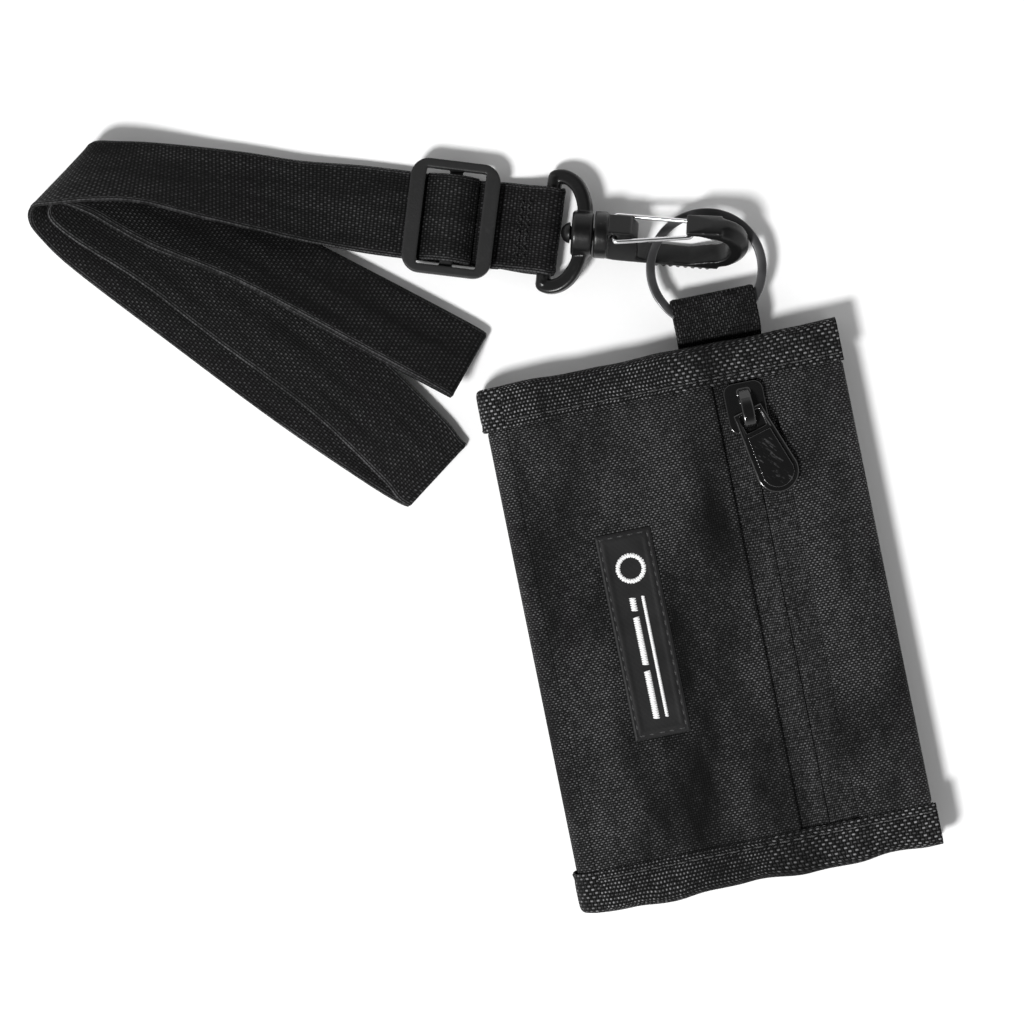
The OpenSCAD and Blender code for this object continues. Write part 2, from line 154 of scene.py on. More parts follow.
def cloth(name, outer, thick, weave=None):
    """Closed sheet: the grid of points is its outer face, and the inner face lies thick mm behind it."""
    n, m = outer.shape[:2]
    coords = arc_lengths(outer) if weave is None else weave
    inner = outer - grid_normals(outer) * thick
    verts = np.concatenate([outer.reshape(-1, 3), inner.reshape(-1, 3)])
    faces = [grid_faces(n, m), grid_faces(n, m, n * m, True)]
    rim = np.concatenate([np.arange(m), np.arange(1, n) * m + m - 1,
                          (n - 1) * m + np.arange(m - 2, -1, -1), np.arange(n - 2, 0, -1) * m])
    following = np.roll(rim, -1)
    faces.append(np.stack([rim, following, following + n * m, rim + n * m], 1))
    both = np.tile(coords.reshape(-1, 2), (2, 1))
    return make_object(name, verts, np.concatenate(faces), both)


def smoothstep(low, high, value):
    t = np.clip((np.asarray(value, float) - low) / (high - low), 0, 1)
    return t * t * (3 - 2 * t)


def arc(cx, cy, radius, start, stop, count):
    """Points on an arc, angles in degrees."""
    a = np.radians(np.linspace(start, stop, count))
    return np.stack([cx + radius * np.cos(a), cy + radius * np.sin(a)], 1)


def resample(points, step):
    """Points spaced step mm apart along a polyline."""
    points = np.asarray(points, float)
    length = travelled(points)
    count = max(2, int(round(length[-1] / step)) + 1)
    return at_distances(np.linspace(0, length[-1], count), length, points)


def smooth_curve(points, per_span):
    """Catmull-Rom curve through the points."""
    p = np.asarray(points, float)
    p = np.concatenate([p[:1], p, p[-1:]])
    t = np.linspace(0, 1, per_span, endpoint=False)[:, None]
    spans = []
    for a, b, c, d in zip(p[:-3], p[1:-2], p[2:-1], p[3:]):
        spans.append(0.5 * (2 * b + (c - a) * t + (2 * a - 5 * b + 4 * c - d) * t ** 2
                            + (3 * b - a - 3 * c + d) * t ** 3))
    spans.append(p[-1:])
    return np.concatenate(spans)


def sweep(path, section, up):
    """Grid of points: the closed section, (side, up), carried along the path. It may have one section
    for each point of the path."""
    tangent = unit(np.gradient(path, axis=0))
    lift = np.asarray(up, float)
    top = []
    for t in tangent:
        lift = unit(lift - t * (lift @ t))
        top.append(lift)
    side = np.cross(top, tangent)[:, None]
    return path[:, None] + side * section[..., :1] + np.array(top)[:, None] * section[..., 1:]


def swept_faces(rows, columns, first=0):
    """Faces of a swept solid with flat ends, its rings of points numbered one after another from first."""
    faces = [list(f) for f in grid_faces(rows, columns, first, True, False, True)]
    last = first + (rows - 1) * columns
    return faces + [list(range(first, first + columns)), list(range(last, last + columns))[::-1]]


def tube(name, path, section, up=(0, 0, 1)):
    """Closed solid swept along a path, with flat ends."""
    points = sweep(path, section, up)
    return make_object(name, points.reshape(-1, 3), swept_faces(*points.shape[:2]))


def circle_section(radius, count):
    a = np.linspace(0, 2 * np.pi, count, endpoint=False)
    return radius * np.stack([np.cos(a), np.sin(a)], 1)


def rounded_section(wide, high, radius, count):
    """Rounded rectangle as a closed section."""
    x, y = wide / 2 - radius, high / 2 - radius
    return np.vstack([arc(cx * x, cy * y, radius, start, start + 90, count)
                      for cx, cy, start in ((1, 1, 0), (-1, 1, 90), (-1, -1, 180), (1, -1, 270))])


def outline_solid(name, outline, layers):
    """Solid from a closed outline: layers are (inset, z) from the underside to the top."""
    outline = np.asarray(outline, float)
    tangent = unit(unit(np.roll(outline, -1, 0) - outline) + unit(outline - np.roll(outline, 1, 0)))
    inward = np.stack([-tangent[:, 1], tangent[:, 0]], 1)
    rings = [points(*(outline + inward * inset).T, z) for inset, z in layers]
    m = len(outline)
    faces = [list(f) for f in grid_faces(len(layers), m, 0, True, False, True)]
    faces.append(list(range(m))[::-1])
    faces.append([(len(layers) - 1) * m + k for k in range(m)])
    return make_object(name, np.concatenate(rings), faces)


def lathe(name, profile, origin, axis, steps=64):
    """Turned solid with a bore: the closed profile is (distance along the axis, radius)."""
    axis = np.asarray(axis, float)
    side = unit(np.cross(axis, (0, 1, 0.3)))
    other = np.cross(axis, side)
    a = np.linspace(0, 2 * np.pi, steps, endpoint=False)
    ring = np.cos(a)[:, None] * side + np.sin(a)[:, None] * other
    profile = np.asarray(profile, float)
    points = (np.asarray(origin, float) + profile[:, None, :1] * axis + profile[:, None, 1:] * ring)
    return make_object(name, points.reshape(-1, 3), grid_faces(len(profile), steps, 0, False, True, True))


def joined(name, objects):
    """One object made of several."""
    bpy.ops.object.select_all(action="DESELECT")
    for o in objects:
        o.select_set(True)
    bpy.context.view_layer.objects.active = objects[0]
    bpy.ops.object.join()
    objects[0].name = name
    objects[0].data.name = name
    return objects[0]


def applied(obj):
    """Replaces the object's mesh with what its modifiers make of it."""
    graph = bpy.context.evaluated_depsgraph_get()
    mesh = bpy.data.meshes.new_from_object(obj.evaluated_get(graph))
    obj.modifiers.clear()
    obj.data = mesh
    return obj


SAME_POINT = 2e-6                              # metres


def remeshed(obj, voxel):
    """One closed mesh in place of overlapping solids, with faces about voxel mm wide."""
    fuse = obj.modifiers.new("fuse", "REMESH")
    fuse.mode = "VOXEL"
    fuse.voxel_size = voxel * MM
    return applied(obj)


def moulded(name, node, extras=(), voxel=0.22, rounds=6, cutters=()):
    """Moulded plastic: the CAD node's shape with added details, fused and with its edges rounded."""
    mesh = NODES[node].data.copy()
    mesh.materials.clear()
    work = bmesh.new()
    work.from_mesh(mesh)
    bmesh.ops.remove_doubles(work, verts=work.verts, dist=SAME_POINT)
    work.to_mesh(mesh)
    work.free()
    obj = bpy.data.objects.new(name, mesh)
    scene.collection.objects.link(obj)
    if extras:
        obj = joined(name, [obj, *extras])
    return fused(name, obj, voxel, rounds, cutters)


def fused(name, obj, voxel, rounds, cutters=()):
    """Fuses the overlapping solids of one object, cuts recesses and rounds the edges."""
    obj.name = name
    remeshed(obj, voxel)
    for cutter in cutters:
        cut = obj.modifiers.new("cut", "BOOLEAN")
        cut.operation = "DIFFERENCE"
        cut.solver = "FAST"
        cut.object = cutter
        applied(obj)
        bpy.data.objects.remove(cutter)
    if cutters:
        remeshed(obj, voxel)
    soften = obj.modifiers.new("soften", "SMOOTH")
    soften.factor = 0.5
    soften.iterations = rounds
    applied(obj)
    obj.data.shade_smooth()
    return obj


def stitches(name, path, normals, length=2.3, gap=0.7, radius=0.21):
    """Row of thread stitches lying on a surface along the path."""
    path = np.asarray(path, float)
    normals = np.broadcast_to(np.asarray(normals, float), path.shape)
    s = travelled(path)
    count = int((s[-1] + gap) / (length + gap))
    swell = np.array([0.35, 0.85, 1, 1.05, 1, 0.85, 0.35])
    sides = 6
    bow = np.linspace(0, 1, len(swell))
    ring = circle_section(1, sides)
    verts, faces = [], []
    for k in range(count):
        at = k * (length + gap) + bow * length
        centre, up = at_distances(at, s, path), at_distances(at, s, normals)
        centre = centre + up * (radius * (1.5 * np.sin(np.pi * bow) - 0.9))[:, None]
        side = np.cross(up, unit(centre[-1] - centre[0]))
        size = radius * swell
        grid = (centre[:, None] + side[:, None] * ring[None, :, :1] * size[:, None, None] * 1.15
                + up[:, None] * ring[None, :, 1:] * size[:, None, None])
        verts.append(grid.reshape(-1, 3))
        faces += swept_faces(len(swell), sides, len(swell) * sides * k)
    return make_object(name, np.concatenate(verts), faces)


# ---------- materials

def rgba(colour):
    """Colour with its alpha; a single number stands for a near-neutral grey."""
    return (*(grey(colour) if isinstance(colour, float) else colour), 1)


def grey(value):
    return (value, value, value * 1.02)


FIRST_YARN = 400.0                             # keeps the count of yarns above 0


class Shader:
    """A material whose Principled shader is fed by nodes that this class adds."""

    def __init__(self, name):
        self.material = bpy.data.materials.new(name)
        self.material.use_nodes = True
        self.tree = self.material.node_tree
        self.tree.nodes.clear()
        self.main = self.node("BsdfPrincipled")
        self.put(self.node("OutputMaterial").inputs[0], self.main.outputs[0])

    def node(self, kind, **inputs):
        """New node, with a value or a link put into each input named."""
        node = self.tree.nodes.new("ShaderNode" + kind)
        for name, value in inputs.items():
            self.put(node.inputs[name], value)
        return node

    def put(self, socket, value):
        if isinstance(value, bpy.types.NodeSocket):
            self.tree.links.new(value, socket)
        else:
            socket.default_value = value

    def set(self, **values):
        """Feeds the Principled shader and returns the material."""
        for name, value in values.items():
            self.put(self.main.inputs[name.replace("_", " ")], value)
        return self.material

    def math(self, operation, a, b=0.0, c=0.0, clamp=False):
        node = self.node("Math")
        node.operation = operation
        node.use_clamp = clamp
        for socket, value in zip(node.inputs, (a, b, c)):
            self.put(socket, value)
        return node.outputs[0]

    def add(self, a, b, clamp=False):
        return self.math("ADD", a, b, clamp=clamp)

    def mul(self, a, b, clamp=False):
        return self.math("MULTIPLY", a, b, clamp=clamp)

    def above(self, value, low, gain):
        """How far the value is above low, times gain, held between 0 and 1."""
        return self.mul(self.math("SUBTRACT", value, low), gain, clamp=True)

    def mix(self, factor, a, b):
        """Number between a and b."""
        node = self.node("Mix")
        node.data_type = "FLOAT"
        for k, value in ((0, factor), (2, a), (3, b)):
            self.put(node.inputs[k], value)
        return node.outputs[0]

    def ramp(self, factor, dark, light):
        """Colour between two colours."""
        node = self.node("Mix")
        node.data_type = "RGBA"
        for k, value in ((0, factor), (6, rgba(dark)), (7, rgba(light))):
            self.put(node.inputs[k], value)
        return node.outputs[2]

    def place(self):
        """Position in the object's own frame, in metres."""
        return self.node("TexCoord").outputs["Object"]

    def weave_place(self):
        """Distance along and across the cloth, in metres."""
        node = self.node("Attribute")
        node.attribute_name = "weave"
        return node.outputs["Vector"]

    def split(self, vector):
        return self.node("SeparateXYZ", Vector=vector).outputs

    def noise(self, vector, scale, detail=2.0, rough=0.5):
        return self.node("TexNoise", Vector=vector, Scale=scale, Detail=detail, Roughness=rough).outputs[0]

    def worn(self, low, gain):
        """Where the surface is sharply convex, 0 to 1."""
        return self.above(self.node("NewGeometry").outputs["Pointiness"], low, gain)

    def sheen_bands(self, vector, along=26.0, across=62.0, angle=-0.62):
        """Long soft bands of painted sheen and shade, 0 to 1."""
        node = self.node("Mapping", Vector=vector, Rotation=(0, 0, angle), Scale=(across, along, 40.0))
        return self.above(self.noise(node.outputs[0], 1.0, 3.0, 0.6), 0.36, 3.4)

    def cell_noise(self, u, v):
        """One random number for each whole-number cell."""
        cell = self.node("CombineXYZ", X=self.math("FLOOR", u), Y=self.math("FLOOR", v))
        node = self.node("TexWhiteNoise", Vector=cell.outputs[0])
        node.noise_dimensions = "2D"
        return node.outputs["Value"]

    def bump(self, height, relief):
        """Surface relief, in millimetres."""
        return self.node("Bump", Strength=1.0, Distance=relief * MM, Height=height).outputs[0]

    def hump(self, value):
        """0 at whole numbers and 1 halfway between them."""
        return self.math("ABSOLUTE", self.math("SINE", self.mul(value, math.pi)))

    def drift(self, place, scale, amount):
        """Slow wandering of the yarns, in yarns."""
        return self.mul(self.math("SUBTRACT", self.noise(place, scale, 2.0), 0.5), amount)

    def yarns(self, distance, pitch, drift):
        """Count of the yarns that lie pitch mm apart."""
        return self.add(self.math("DIVIDE", distance, pitch * MM), self.add(drift, FIRST_YARN))

    def plain_weave(self, u, v, flat=0.74):
        """Height of an over-and-under weave; u and v count the yarns."""
        odd = self.math("MODULO", self.add(self.math("FLOOR", u), self.math("FLOOR", v)), 2.0)
        odd = self.math("ABSOLUTE", odd)
        across, along = self.hump(u), self.hump(v)
        warp = self.mul(across, self.math("MULTIPLY_ADD", along, 1 - flat, flat))
        weft = self.mul(along, self.math("MULTIPLY_ADD", across, 1 - flat, flat))
        return self.mix(odd, warp, weft), odd


CLOTH_SPECULAR = 0.13


def woven(name, dark, light, pitch, relief, rough=0.62, sheen=0.25, glint=0.5, wobble=0.25,
          other=0.25, sheen_bands=0.7, sharp=2.6):
    """Plain-woven cloth whose colour carries painted highlights on the yarn tops and painted sheen bands.
    Glint is how much the painted glints differ from yarn to yarn, other is the share of painted highlight
    left on every second crossing, and sharp narrows the painted highlights on the yarn tops."""
    s = Shader(name)
    place = s.weave_place()
    u, v, _ = s.split(place)
    drift = s.drift(place, 160.0, wobble * 2)
    u, v = s.yarns(u, pitch[0], drift), s.yarns(v, pitch[1], drift)
    height, odd = s.plain_weave(u, v)
    # painted highlights on the yarn tops, with painted glints that differ from yarn to yarn; every second
    # crossing keeps only part of them
    painted_light = s.mul(s.math("POWER", height, sharp), s.mix(s.cell_noise(u, v), 1 - glint, 1.0))
    painted_light = s.mul(painted_light, s.mix(odd, other, 1.0))
    # painted sheen bands laid over the cloth
    painted_light = s.mul(painted_light, s.mix(s.sheen_bands(s.place()), 1 - sheen_bands, 1 + sheen_bands * 0.8), clamp=True)
    fuzz = s.mul(s.noise(s.place(), 4200.0, 1.0), 0.18)
    return s.set(Base_Color=s.ramp(painted_light, dark, light), Roughness=s.mix(painted_light, rough + 0.18, rough - 0.1),
                 Normal=s.bump(s.add(height, fuzz), relief), Sheen_Weight=sheen, Sheen_Roughness=0.45,
                 Specular_IOR_Level=CLOTH_SPECULAR)


def webbing_material(name, dark, light, half_width):
    """Plain-woven webbing with a corded selvedge; its colour carries painted highlights on the yarns, a
    stronger painted highlight on the corded edges and painted sheen bands.
    """
    s = Shader(name)
    place = s.weave_place()
    along, across, _ = s.split(place)
    drift = s.drift(place, 220.0, 0.35)
    rib, pick = s.yarns(across, 0.56, drift), s.yarns(along, 0.86, drift)
    weave, odd = s.plain_weave(rib, pick, 0.35)
    weave = s.mul(weave, s.mix(odd, 0.55, 1.0))
    slant = s.add(pick, s.mul(s.math("FLOOR", rib), 0.5))
    cord = s.mul(s.hump(rib), s.math("MULTIPLY_ADD", s.hump(slant), 0.45, 0.55))
    from_middle = s.math("DIVIDE", s.math("ABSOLUTE", across), half_width * MM)
    height = s.mix(s.above(from_middle, 0.86, 12.0), weave, cord)
    # painted highlights on the yarn tops, with painted glints that differ from yarn to yarn
    painted_light = s.mul(s.math("POWER", height, 2.2), s.mix(s.cell_noise(rib, pick), 0.35, 1.0))
    # painted sheen bands along the webbing
    painted_light = s.mul(painted_light, s.mix(s.sheen_bands(place, 230.0, 22.0, 0.0), 0.35, 1.5))
    # stronger painted highlight on the corded edges
    painted_light = s.mul(painted_light, s.mix(s.above(from_middle, 0.9, 14.0), 1.0, 1.8), clamp=True)
    fuzz = s.mul(s.noise(s.place(), 4600.0, 1.0), 0.15)
    return s.set(Base_Color=s.ramp(painted_light, dark, light), Roughness=s.mix(painted_light, 0.72, 0.46),
                 Normal=s.bump(s.add(height, fuzz), 0.16), Sheen_Weight=0.01, Sheen_Roughness=0.4,
                 Specular_IOR_Level=CLOTH_SPECULAR)


def plastic(name, value, rough, scratches=0.25, grain=0.02):
    """Moulded plastic: fine moulded grain, soft scuffs and lighter worn edges."""
    s = Shader(name)
    place = s.place()
    cloudy = s.noise(place, 90.0, 4.0)
    scuff = s.above(s.noise(place, 700.0, 5.0, 0.7), 0.56, 6.0)
    base = grey(value)
    lighter = tuple(c * 2.6 + 0.015 for c in base)
    amount = s.add(s.mul(s.worn(0.52, 9.0), 0.55), s.mul(scuff, scratches * 0.5))
    amount = s.add(amount, s.mul(cloudy, 0.15), clamp=True)
    gloss = s.add(s.math("MULTIPLY_ADD", cloudy, 0.12, rough - 0.06), s.mul(scuff, scratches))
    return s.set(Base_Color=s.ramp(amount, base, lighter), Roughness=gloss,
                 Normal=s.bump(s.noise(place, 2600.0, 2.0), grain), Specular_IOR_Level=0.34)


def metal(name, colour, rough, brushed=900.0, tarnish=0.25):
    """Plated or bare steel with fine drawing marks and cloudy tarnish."""
    s = Shader(name)
    place = s.place()
    cloudy = s.noise(place, 260.0, 4.0)
    dull = tuple(c * (1 - tarnish) for c in colour)
    return s.set(Base_Color=s.ramp(cloudy, dull, colour), Metallic=1.0,
                 Roughness=s.math("MULTIPLY_ADD", cloudy, 0.18, rough - 0.06),
                 Normal=s.bump(s.noise(place, brushed * 3, 3.0, 0.7), 0.012))


def enamel(name):
    """Gloss black paint over a zinc casting."""
    s = Shader(name)
    ripple = s.noise(s.place(), 420.0, 2.0)
    return s.set(Base_Color=s.ramp(s.worn(0.56, 8.0), 0.006, 0.05), Roughness=s.mix(ripple, 0.1, 0.26),
                 Normal=s.bump(ripple, 0.03), Coat_Weight=0.7, Coat_Roughness=0.06)


def satin(name, dark, light, pitch):
    """Satin ribbon: fine threads across the label, with painted sheen along the threads and in soft
    patches.
    """
    s = Shader(name)
    place = s.place()
    threads = s.hump(s.math("DIVIDE", s.split(place)[1], pitch * MM))
    # cloudy gives soft patches of painted sheen; the thread lines carry painted sheen too
    cloudy = s.noise(place, 180.0, 3.0)
    painted_light = s.mul(threads, s.mix(cloudy, 0.5, 1.2), clamp=True)
    return s.set(Base_Color=s.ramp(painted_light, dark, light), Roughness=s.mix(cloudy, 0.38, 0.5),
                 Normal=s.bump(threads, 0.02), Sheen_Weight=0.01, Specular_IOR_Level=0.15)


def thread(name, dark, light, sheen=0.2):
    """Twisted sewing thread."""
    s = Shader(name)
    twist = s.node("TexWave", Vector=s.place(), Scale=900.0, Distortion=1.5)
    twist.bands_direction = "DIAGONAL"
    return s.set(Base_Color=s.ramp(twist.outputs[1], dark, light), Roughness=0.5,
                 Normal=s.bump(twist.outputs[1], 0.06), Sheen_Weight=sheen)


def pile(name, scale, relief, dark, light):
    """Loops or hooks of a closure strip."""
    s = Shader(name)
    place = s.place()
    cells = s.node("TexVoronoi", Vector=place, Scale=scale)
    strands = s.noise(place, scale * 1.7, 4.0, 0.7)
    height = s.math("SUBTRACT", strands, s.mul(cells.outputs["Distance"], 0.6))
    return s.set(Base_Color=s.ramp(s.mul(height, 1.4, clamp=True), dark, light), Roughness=0.8,
                 Normal=s.bump(height, relief), Sheen_Weight=0.3)


SHELL = woven("shell_fabric", 0.0004, 0.13, (0.52, 0.55), 0.2, rough=0.56, sheen=0.01, glint=0.7,
              wobble=0.3, other=0.2, sheen_bands=0.9)
BINDING = woven("binding_tape", 0.0004, 0.26, (0.56, 0.86), 0.3, rough=0.5, sheen=0.01, glint=0.85,
                wobble=0.35, other=0.1, sheen_bands=0.6, sharp=3.6)
LINING = woven("lining_fabric", 0.004, 0.06, (0.32, 0.32), 0.05, rough=0.6, sheen=0.05, glint=0.3,
               wobble=0.2, other=0.6, sheen_bands=0.3)
TAPE = woven("zip_tape", 0.0005, 0.11, (0.42, 0.6), 0.16, rough=0.58, sheen=0.01, glint=0.8,
             wobble=1.1, other=0.45, sheen_bands=0.7)
WEBBING = webbing_material("webbing", 0.0005, 0.055, 10.0)
TAB_WEB = woven("tab_webbing", 0.0004, 0.1, (0.66, 0.52), 0.22, rough=0.5, sheen=0.01, glint=0.85,
                wobble=0.3, other=0.25, sheen_bands=0.5)
HOOK_PLASTIC = plastic("hook_plastic", 0.003, 0.3, 0.15)
GLIDE_PLASTIC = plastic("glide_plastic", 0.008, 0.5, 0.2, 0.035)
BOARD = plastic("stiffener_board", 0.2, 0.55)
RING_METAL = metal("ring_steel", (0.2, 0.2, 0.205), 0.34)
WIRE_METAL = metal("gate_steel", (0.86, 0.86, 0.87), 0.16, 1200.0, 0.08)
BLACK_ENAMEL = enamel("slider_enamel")
COIL_NYLON = plastic("zip_coil", 0.012, 0.32, 0.1)
LABEL_SATIN = satin("label_satin", 0.001, 0.022, 0.28)
WHITE_THREAD = thread("white_thread", (0.7, 0.7, 0.7), (0.92, 0.92, 0.92))
BLACK_THREAD = thread("black_thread", 0.003, 0.035)
TACK_THREAD = thread("tack_thread", 0.001, 0.006, 0.02)
LOOP_PILE = pile("loop_pile", 1500.0, 0.4, 0.004, 0.05)
HOOK_PILE = pile("hook_pile", 900.0, 0.5, 0.003, 0.04)


def finish(obj, material, body, slot, *replaced):
    """Gives a piece its material, body and the CAD nodes that it stands for. The slot is not used."""
    obj.data.materials.clear()
    obj.data.materials.append(material)
    if isinstance(body, str):
        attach(obj, body)
    else:
        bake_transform(obj)
    if replaced:
        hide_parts(*replaced)
    return obj


# ---------- camera, lights and floor

camera_data = bpy.data.cameras.new("camera")
camera_data.lens = 85
camera_data.sensor_width = 36
camera_data.clip_start = 0.01
camera = bpy.data.objects.new("camera", camera_data)
camera.location = (-0.0396, 0.0327, 0.562)
camera.rotation_euler = (0, 0, math.radians(-11.5))
scene.collection.objects.link(camera)
scene.camera = camera
scene.view_settings.view_transform = "Standard"


KEY_PLACE = Vector((-0.62, -0.40, 0.98))
KEY_TARGET = Vector((-0.03, 0.03, 0.0))
key_data = bpy.data.lights.new("key_light", "AREA")
key_data.shape = "DISK"
key_data.size = 0.26
key_data.energy = 16.5
key_light = bpy.data.objects.new("key_light", key_data)
key_light.location = KEY_PLACE
key_light.rotation_euler = (KEY_TARGET - KEY_PLACE).to_track_quat("-Z", "Y").to_euler()
scene.collection.objects.link(key_light)

# pale walls all round and a darker ceiling, so that flat black faces stay black
world = bpy.data.worlds.new("studio")
world.use_nodes = True
sky = world.node_tree
sky.nodes["Background"].inputs[0].default_value = (1, 1, 1, 1)
scene.world = world
height = sky.nodes.new("ShaderNodeSeparateXYZ")
sky.links.new(sky.nodes.new("ShaderNodeTexCoord").outputs["Generated"], height.inputs[0])
fade = sky.nodes.new("ShaderNodeMapRange")
fade.interpolation_type = "SMOOTHSTEP"
sky.links.new(height.outputs[2], fade.inputs["Value"])
for name, value in (("From Min", 0.4), ("From Max", 0.96), ("To Min", 0.82), ("To Max", 0.04)):
    fade.inputs[name].default_value = value
sky.links.new(fade.outputs[0], sky.nodes["Background"].inputs[1])

paper = Shader("paper")
grain = paper.noise(paper.place(), 900.0, 3.0)
paper.set(Base_Color=paper.ramp(grain, (0.93, 0.93, 0.93), (0.95, 0.95, 0.95)), Roughness=0.9,
          Normal=paper.bump(grain, 0.01), Specular_IOR_Level=0.1)
floor = make_object("floor", [(-1500, -1500, 0), (1500, -1500, 0), (1500, 1500, 0), (-1500, 1500, 0)],
                    [(0, 1, 2, 3)], smooth=False)
floor.data.materials.append(paper.material)


# ---------- sewn shell

def lift(x, y):
    """Gentle unevenness of the padded front, in millimetres; it dies away at the seams and the spine."""
    x, y = np.broadcast_arrays(np.asarray(x, float), np.asarray(y, float))
    left = smoothstep(FOLD_X, FOLD_X + 9, x) * (1 - smoothstep(SEAM_LEFT - 8, SEAM_LEFT, x))
    right = smoothstep(SEAM_RIGHT, SEAM_RIGHT + 5, x) * (1 - smoothstep(HALF_W - 7, HALF_W - 1, x))
    ends = 1 - smoothstep(BAND_Y - 11, BAND_Y - 0.5, np.abs(y))
    spots = zip(x.ravel(), y.ravel())
    noisy = np.array([noise.noise(Vector((a * 0.045, b * 0.03, 1.7))) for a, b in spots])
    ripple = np.sin(0.21 * x + 0.13 * y + 1.1) * 0.09 + np.sin(0.33 * x - 0.17 * y) * 0.05
    padding = ends * (0.3 + 0.45 * noisy.reshape(x.shape))
    return (left + 0.6 * right) * (padding + ripple * (0.35 + 0.65 * ends))


def along_y(section, half, count):
    """Grids of x, y and z that carry an (x, z) section along Y, from -half to half."""
    x, y = np.meshgrid(section[:, 0], np.linspace(-half, half, count), indexing="ij")
    return x, y, np.broadcast_to(section[:, 1:2], x.shape)


PINCH = 0.62                                   # how far the binding tape presses each face in


def shell_piece(name, section, top=0.0):
    """Fabric that runs along Y; the (x, z) section goes with the outer side on its left seen from -Y."""
    x, y, z = along_y(resample(section, 0.55), HALF_L - 0.8, 150)
    under = smoothstep(BAND_Y - 0.6, BAND_Y + 0.5, np.abs(y))
    middle = SKIN_Z / 2
    if top:
        z = z + lift(x, y) * smoothstep(top - 0.25, top - 0.05, z)
    z = z - np.clip((z - middle) / (middle * 0.9), -1, 1) * PINCH * under
    x = x - np.clip(x / (HALF_W * 0.95), -1, 1) ** 7 * 0.55 * under
    return cloth(name, points(x, y, z), 0.5)


FLANGE_Z = 8.95                                # the edge folded under beside the zip

shell_main = shell_piece("shell_front", np.vstack([
    [(FOLD_X, SKIN_Z)], arc(SEAM_LEFT - 0.65, SKIN_Z - 0.65, 0.65, 90, -60, 9),
    [(SEAM_LEFT - 3.2, FLANGE_Z)]]),
    top=SKIN_Z)
finish(shell_main, SHELL, "cover", "shell_fabric", "front_panel")

shell_right = shell_piece("shell_front_edge", np.vstack([
    [(SEAM_RIGHT + 3.2, FLANGE_Z)], arc(SEAM_RIGHT + 0.65, SKIN_Z - 0.65, 0.65, 240, 90, 9),
    arc(HALF_W - 2.2, SKIN_Z - 2.2, 2.2, 90, 0, 12), arc(HALF_W - 0.7, 5.6, 0.7, 0, -90, 6),
    [(HALF_W - 2.7, 5.25)]]), top=SKIN_Z)
finish(shell_right, SHELL, "cover", "shell_fabric")

shell_back = shell_piece("shell_back", np.vstack([
    [(HALF_W - 2.6, 3.3)], arc(HALF_W - 0.7, 3.0, 0.7, 90, 0, 6), arc(HALF_W - 1.6, 1.63, 1.6, 0, -90, 9),
    [(FOLD_X, 0.03)]]))
finish(shell_back, SHELL, "pouch", "shell_fabric", "back_panel")

BLEND = ("pouch", "cover", (HINGE_X, 0, 0.0015), (HINGE_X, 0, 0.0085))
spine = shell_piece("shell_spine", np.vstack([
    [(FOLD_X, 0.03)], arc(-HALF_W + 3.4, 3.43, 3.4, -90, -180, 12),
    arc(-HALF_W + 3.4, SKIN_Z - 3.4, 3.4, 180, 90, 12), [(FOLD_X, SKIN_Z)]]))
finish(spine, SHELL, BLEND, "shell_fabric")


# Binding tape round the short ends: (distance along Y, share of the way from the outer to the inner face)
BAND_SECTION = [(52.25, 0.13), (51.78, 0.1), (51.62, 0.045), (51.85, 0.0), (52.4, -0.012), (53.1, 0.004),
                (53.45, 0.022), (53.8, 0.004), (54.8, -0.012), (57.5, -0.012), (59.8, 0.004), (60.7, 0.05),
                (61.25, 0.14), (61.5, 0.3), (61.5, 0.68), (61.25, 0.85), (60.7, 0.95), (59.8, 0.99)]


def band_piece(name, end, outer, inner, tuck, body, *replaced):
    """Folded tape: outer and inner are (x, z) paths along it, and tuck is where its inner flange ends."""
    section = smooth_curve(BAND_SECTION + [(56.0, (0.99 + tuck) / 2), (52.4, tuck), (52.1, tuck - 0.04)], 4)
    outer = resample(outer, 0.7)
    inner = np.asarray(inner, float)
    inner = at_distances(np.linspace(0, 1, len(outer)), np.linspace(0, 1, len(inner)), inner)
    q = section[:, 1:, None]
    place = outer[None] * (1 - q) + inner[None] * q
    x, y = place[..., 0], section[:, :1] * end
    puff = np.sin(x * 0.9 + end) * 0.05 + np.sin(x * 0.37) * 0.06
    away = smoothstep(0.3, -0.05, section[:, 1:]) * smoothstep(FOLD_X, FOLD_X + 4, x)
    up = np.where(outer[:, 1] > SKIN_Z / 2, 1.0, 0.0)[None]
    far = smoothstep(54, 61, np.abs(y))
    sway = np.sin(x * 0.17 + 0.9 * end) * 0.42 + np.sin(x * 0.43 + 2.0 * end) * 0.2
    sway = sway * (0.4 if end > 0 else 1.0)
    face = points(x, y + (0.35 * puff + sway * far) * end, place[..., 1] + puff * away * up)
    if end > 0:
        face = face[:, ::-1]
    piece = cloth(name, face, 0.6, weave=arc_lengths(face)[..., ::-1])
    return finish(piece, BINDING, body, "binding_tape", *replaced)


BACK_BAND_Z = 0.12                             # just clear of the table
STITCH_Y = 53.45                               # the seam, in the groove of BAND_SECTION

